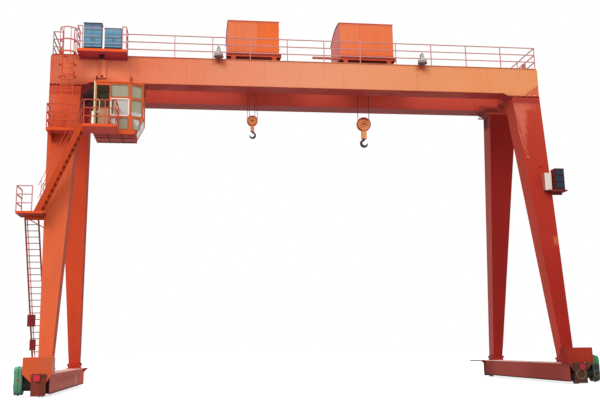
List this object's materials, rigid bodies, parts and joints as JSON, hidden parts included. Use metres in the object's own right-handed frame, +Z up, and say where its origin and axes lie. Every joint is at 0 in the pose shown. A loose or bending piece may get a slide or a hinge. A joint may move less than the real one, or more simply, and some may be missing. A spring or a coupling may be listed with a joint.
{
  "type": "gantry crane",
  "caption": "Rail-mounted full gantry crane with twin box girders, A-shaped tapered legs, hoist trolleys with hook blocks, an operator's cab, stairs and ladders.",
  "frame": {"origin": "on the level that the wheels stand on, midway between the runway rails and midway between the wheels of one side", "axes": "+X along the girders, from the cab's leg to the other one; +Y along the runway, away from the cab's side; +Z up"},
  "size_m": [24.8009, 10.96, 17.7544],
  "materials": {
    "girder_orange": "satin orange paint, sun-bleached",
    "leg_orange": "satin orange-red paint",
    "beam_red": "satin red-brown paint",
    "stair_orange": "satin orange paint",
    "rail_red": "satin red-orange paint",
    "dark_red": "satin dark red paint",
    "brown_plate": "satin brown paint",
    "hood_orange": "satin orange paint",
    "gear_green": "satin green paint",
    "dark_steel": "dark paint",
    "worn_steel": "bare rolled steel, worn bright",
    "cabinet_grey": "satin blue-grey paint",
    "cab_orange": "satin orange paint",
    "cab_trim": "satin pale grey paint",
    "glass": "clear tinted glass",
    "door_yellow": "satin pale yellow paint",
    "house_orange": "satin orange sheet",
    "hook_steel": "forged steel, dark",
    "block_yellow": "satin yellow-orange paint",
    "rope_steel": "greased wire rope",
    "lamp_grey": "matt grey",
    "buffer_red": "red rubber",
    "box_white": "white enamel"
  },
  "bodies": {
    "crane_frame": {"front_girder": "girder_orange", "rear_girder": "girder_orange", "end_ties": "beam_red", "trolley_rails": "worn_steel", "front_left_leg": "leg_orange", "rear_left_leg": "leg_orange", "front_right_leg": "leg_orange", "rear_right_leg": "leg_orange", "left_ground_beam": "beam_red", "right_ground_beam": "beam_red", "axle_blocks": "dark_steel", "end_plates": "brown_plate", "buffers": "buffer_red", "drive_hoods": "hood_orange", "travel_gearboxes": "gear_green", "gearbox_hubs": "dark_steel", "lower_ladder": "rail_red", "ladder_boxes": "dark_red", "landing": "dark_red", "landing_railing": "rail_red", "stair_stringers": "stair_orange", "stair_treads": "dark_red", "stair_handrails": "stair_orange", "upper_platform": "stair_orange", "platform_railing": "rail_red", "upper_ladder": "rail_red", "ladder_cage": "rail_red", "cabinet_platform": "stair_orange", "control_cabinets": "cabinet_grey", "cable_duct": "girder_orange", "cabinet_railing": "rail_red", "walkway_railings": "rail_red", "cab_shell": "cab_orange", "cab_glass": "glass", "cab_floor": "beam_red", "cab_roof": "cab_orange", "cab_hangers": "dark_red", "door_knuckles": "dark_steel", "floodlights": "lamp_grey", "light_brackets": "dark_red", "leg_shelf": "rail_red", "leg_cabinet": "dark_red", "leg_box": "box_white"},
    "trolley_1": {"trolley_1_frame": "beam_red", "trolley_1_gear": "worn_steel", "trolley_1_house": "house_orange", "trolley_1_ropes": "rope_steel"},
    "hook_block_1": {"trolley_1_block": "block_yellow"},
    "hook_1": {"trolley_1_hook": "hook_steel"},
    "trolley_2": {"trolley_2_frame": "beam_red", "trolley_2_gear": "worn_steel", "trolley_2_house": "house_orange", "trolley_2_ropes": "rope_steel"},
    "hook_block_2": {"trolley_2_block": "block_yellow"},
    "hook_2": {"trolley_2_hook": "hook_steel"},
    "cab_door": {"cab_door": "door_yellow"},
    "front_left_wheel": {"front_left_wheel": "worn_steel"},
    "rear_left_wheel": {"rear_left_wheel": "worn_steel"},
    "front_right_wheel": {"front_right_wheel": "worn_steel"},
    "rear_right_wheel": {"rear_right_wheel": "worn_steel"}
  },
  "joints": [
    {"name": "trolley_1_travel", "type": "slide", "parent": "crane_frame", "child": "trolley_1", "axis": [1, 0, 0], "range_m": [-7.6, 0.6]},
    {"name": "hoist_1", "type": "slide", "parent": "trolley_1", "child": "hook_block_1", "axis": [0, 0, 1], "range_m": [-10.7, 1.6], "deforming": ["trolley_1_ropes"]},
    {"name": "hook_1_swivel", "type": "hinge", "parent": "hook_block_1", "child": "hook_1", "pos_m": [-2.36, 0, 12.27], "axis": [0, 0, 1], "continuous": true},
    {"name": "trolley_2_travel", "type": "slide", "parent": "crane_frame", "child": "trolley_2", "axis": [1, 0, 0], "range_m": [-0.6, 6.6]},
    {"name": "hoist_2", "type": "slide", "parent": "trolley_2", "child": "hook_block_2", "axis": [0, 0, 1], "range_m": [-10.7, 1.6], "deforming": ["trolley_2_ropes"]},
    {"name": "hook_2_swivel", "type": "hinge", "parent": "hook_block_2", "child": "hook_2", "pos_m": [3.27, 0, 12], "axis": [0, 0, 1], "continuous": true},
    {"name": "cab_door_hinge", "type": "hinge", "parent": "crane_frame", "child": "cab_door", "pos_m": [-9.6, -2.782, 12.5], "axis": [0, 0, 1], "range_deg": [0, 90]},
    {"name": "front_left_wheel_axle", "type": "hinge", "parent": "crane_frame", "child": "front_left_wheel", "pos_m": [-11.09, -4.95, 0.3], "axis": [1, 0, 0], "continuous": true},
    {"name": "rear_left_wheel_axle", "type": "hinge", "parent": "crane_frame", "child": "rear_left_wheel", "pos_m": [-11.09, 4.95, 0.3], "axis": [1, 0, 0], "continuous": true},
    {"name": "front_right_wheel_axle", "type": "hinge", "parent": "crane_frame", "child": "front_right_wheel", "pos_m": [11.09, -4.95, 0.3], "axis": [1, 0, 0], "continuous": true},
    {"name": "rear_right_wheel_axle", "type": "hinge", "parent": "crane_frame", "child": "rear_right_wheel", "pos_m": [11.09, 4.95, 0.3], "axis": [1, 0, 0], "continuous": true}
  ]
}
